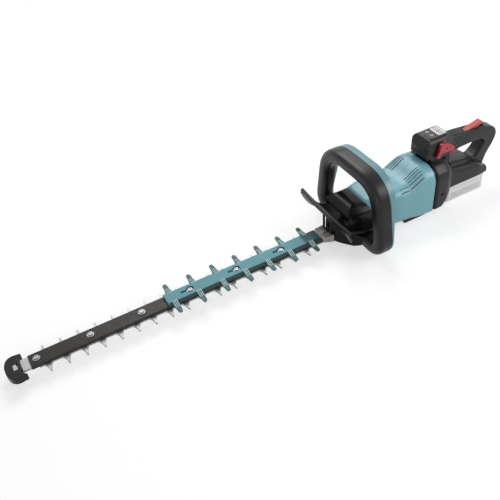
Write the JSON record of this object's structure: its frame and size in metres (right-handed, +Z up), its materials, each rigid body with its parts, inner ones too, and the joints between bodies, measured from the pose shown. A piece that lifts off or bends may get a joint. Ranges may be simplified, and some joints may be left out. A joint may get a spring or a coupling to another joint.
{
  "type": "hedge trimmer",
  "caption": "Cordless hedge trimmer: long double-sided shear blade with comb guard, front loop handle, hand guard and swivelling rear D-handle over a slide-in battery.",
  "frame": {"origin": "flat underside of the gear case's bottom cover, below the crank axis", "axes": "+X back along the tool, from the blade tip towards the rear handle; +Y to the side, away from the swivel lock lever; +Z up"},
  "size_m": [1.147, 0.2408, 0.189],
  "materials": {
    "teal_plastic": "satin moulded",
    "dark_teal_plastic": "satin moulded",
    "charcoal_plastic": "fine-grained moulded",
    "soft_grip": "soft overmould",
    "panel_plastic": "gloss",
    "black_steel": "blackened",
    "bright_steel": "ground",
    "cast_metal": "as cast",
    "red_plastic": "satin moulded",
    "orange_plastic": "satin moulded",
    "pale_plastic": "satin moulded",
    "copper_windings": "enamelled wire",
    "circuit_board": "lacquered"
  },
  "bodies": {
    "main_body": {"guide_bar": "bright_steel", "blade_cover": "black_steel", "chip_guard": "dark_teal_plastic", "tip_guard": "charcoal_plastic", "tip_guard_screw": "bright_steel", "root_plate": "cast_metal", "blade_bolt_1": "bright_steel", "blade_bolt_2": "bright_steel", "blade_bolt_3": "bright_steel", "blade_bolt_4": "bright_steel", "blade_bolt_5": "bright_steel", "blade_bolt_6": "bright_steel", "blade_bolt_7": "bright_steel", "crank_bearing_lower": "bright_steel", "crank_bearing_upper": "bright_steel", "motor_stator": "copper_windings", "motor_bearing_lower": "bright_steel", "motor_bearing_upper": "bright_steel", "gear_case": "charcoal_plastic", "base_plate": "charcoal_plastic", "front_grip": "soft_grip", "front_handle_back": "teal_plastic", "hand_guard": "charcoal_plastic", "hand_guard_screw_left": "bright_steel", "hand_guard_screw_right": "bright_steel", "motor_housing_left": "teal_plastic", "motor_housing_right": "teal_plastic", "swivel_ring": "soft_grip", "base_foot": "soft_grip", "handle_stud_left": "bright_steel", "handle_stud_right": "bright_steel"},
    "crank": {"crank": "bright_steel", "crank_gear": "cast_metal"},
    "upper_blade": {"upper_blade": "bright_steel"},
    "lower_blade": {"lower_blade": "bright_steel"},
    "rotor": {"motor_rotor": "bright_steel", "motor_pinion": "bright_steel", "cooling_fan": "charcoal_plastic"},
    "rear_handle": {"rear_housing_left": "charcoal_plastic", "rear_housing_right": "charcoal_plastic", "swivel_spindle": "cast_metal", "display_panel": "panel_plastic", "switch_unit": "panel_plastic", "control_board": "circuit_board", "terminal_block": "pale_plastic", "trigger_pin": "bright_steel", "lock_off_pin": "bright_steel", "swivel_lock_pin": "bright_steel"},
    "trigger": {"trigger": "red_plastic"},
    "lock_off_lever": {"lock_off_lever": "orange_plastic"},
    "swivel_lock_lever": {"swivel_lock_lever": "red_plastic"},
    "power_button": {"power_button": "pale_plastic"},
    "speed_button": {"speed_button": "pale_plastic"},
    "battery": {"battery_case": "pale_plastic", "battery_lid": "pale_plastic"},
    "battery_release": {"battery_release": "red_plastic"}
  },
  "joints": [
    {"name": "crank_turn", "type": "hinge", "parent": "main_body", "child": "crank", "pos_m": [0, 0, 0.03], "axis": [0, 0, 1], "range_deg": [-90, 90]},
    {"name": "upper_blade_stroke", "type": "slide", "parent": "main_body", "child": "upper_blade", "axis": [1, 0, 0], "range_m": [-0.00876, 0.00876]},
    {"name": "lower_blade_stroke", "type": "slide", "parent": "main_body", "child": "lower_blade", "axis": [1, 0, 0], "range_m": [-0.00876, 0.00876]},
    {"name": "rotor_spin", "type": "hinge", "parent": "main_body", "child": "rotor", "pos_m": [0.0505, 0, 0.06], "axis": [0, 0, 1], "range_deg": [-473, 473]},
    {"name": "handle_swivel", "type": "hinge", "parent": "main_body", "child": "rear_handle", "pos_m": [0.178, 0, 0.067], "axis": [1, 0, 0], "range_deg": [-90, 90]},
    {"name": "trigger_pull", "type": "hinge", "parent": "rear_handle", "child": "trigger", "pos_m": [0.287, 0, 0.128], "axis": [0, 1, 0], "range_deg": [0, 9], "stiffness_Nm_per_rad": 0.8, "springref_deg": -2.86},
    {"name": "lock_off_press", "type": "hinge", "parent": "rear_handle", "child": "lock_off_lever", "pos_m": [0.278, 0, 0.142], "axis": [0, 1, 0], "range_deg": [0, 5.5], "stiffness_Nm_per_rad": 0.8, "springref_deg": -2.86},
    {"name": "swivel_lock_pull", "type": "hinge", "parent": "rear_handle", "child": "swivel_lock_lever", "pos_m": [0.216, -0.033, 0.153], "axis": [0, 1, 0], "range_deg": [0, 12], "stiffness_Nm_per_rad": 0.6, "springref_deg": -3.44},
    {"name": "power_button_press", "type": "slide", "parent": "rear_handle", "child": "power_button", "axis": [0, 0, -1], "range_m": [0, 0.001], "stiffness_N_per_m": 600, "springref_m": -0.0005},
    {"name": "speed_button_press", "type": "slide", "parent": "rear_handle", "child": "speed_button", "axis": [0, 0, -1], "range_m": [0, 0.001], "stiffness_N_per_m": 600, "springref_m": -0.0005},
    {"name": "battery_slide", "type": "slide", "parent": "rear_handle", "child": "battery", "axis": [1, 0, 0], "range_m": [0, 0.115]},
    {"name": "battery_release_push", "type": "slide", "parent": "battery", "child": "battery_release", "axis": [-1, 0, 0], "range_m": [0, 0.0025], "stiffness_N_per_m": 800, "springref_m": -0.001}
  ],
  "couplings": [
    {"joint": "upper_blade_stroke", "follows": "crank_turn", "m_per_rad": -0.0055704},
    {"joint": "lower_blade_stroke", "follows": "crank_turn", "m_per_rad": 0.0055704},
    {"joint": "rotor_spin", "follows": "crank_turn", "ratio": -5.25}
  ]
}
